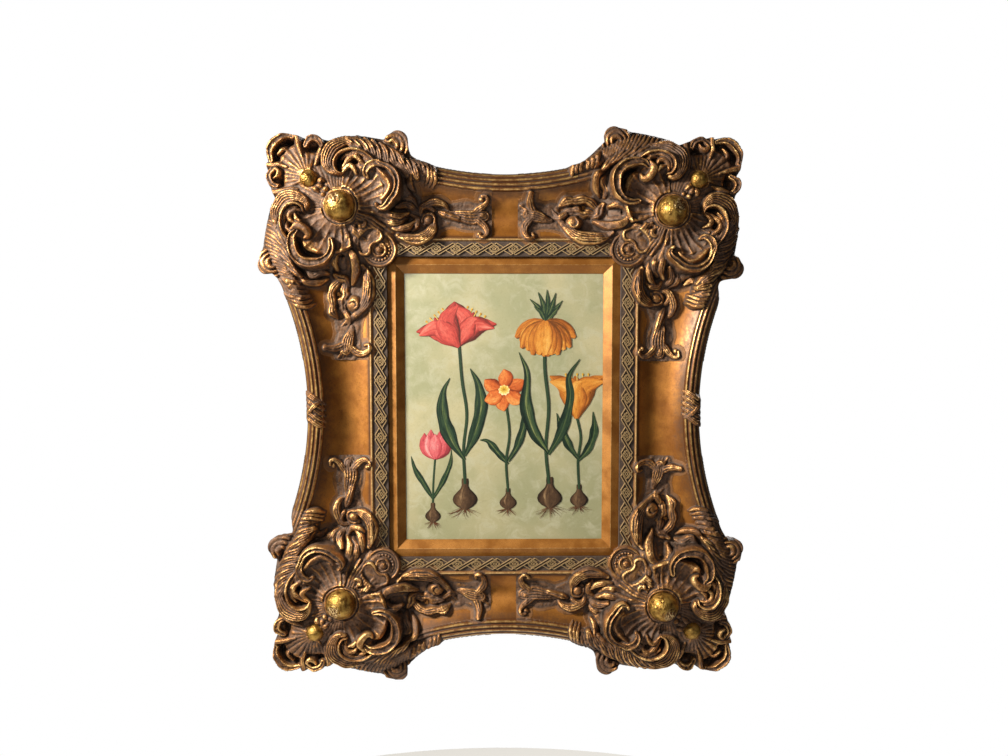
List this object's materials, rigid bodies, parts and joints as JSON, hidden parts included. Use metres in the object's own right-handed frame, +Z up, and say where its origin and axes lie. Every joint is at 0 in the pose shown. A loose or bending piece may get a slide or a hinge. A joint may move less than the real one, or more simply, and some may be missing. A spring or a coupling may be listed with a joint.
{
  "type": "framed oil painting",
  "caption": "Small oil painting of flowers in a deep swept gilt frame with scrolled and shell-carved corners, hung from a plate on its back.",
  "frame": {"origin": "middle of the hanger's back face, where it meets the wall, behind the top rail", "axes": "+X right and +Z up as the painting hangs, -Y out of the wall towards the viewer"},
  "size_m": [0.7095, 0.0977, 0.8098],
  "materials": {
    "gilt_frame": "bronze-toned gilding over gesso, rubbed on the ridges, dark and dusty in the hollows",
    "gilt_liner": "satin orange-gold gilding",
    "oil_paint": "oil paint on a panel, satin varnish",
    "zinc_steel": "dull zinc plate"
  },
  "bodies": {
    "root": {"frame": "gilt_frame", "liner": "gilt_liner", "painting": "oil_paint", "hanger": "zinc_steel"}
  },
  "joints": []
}
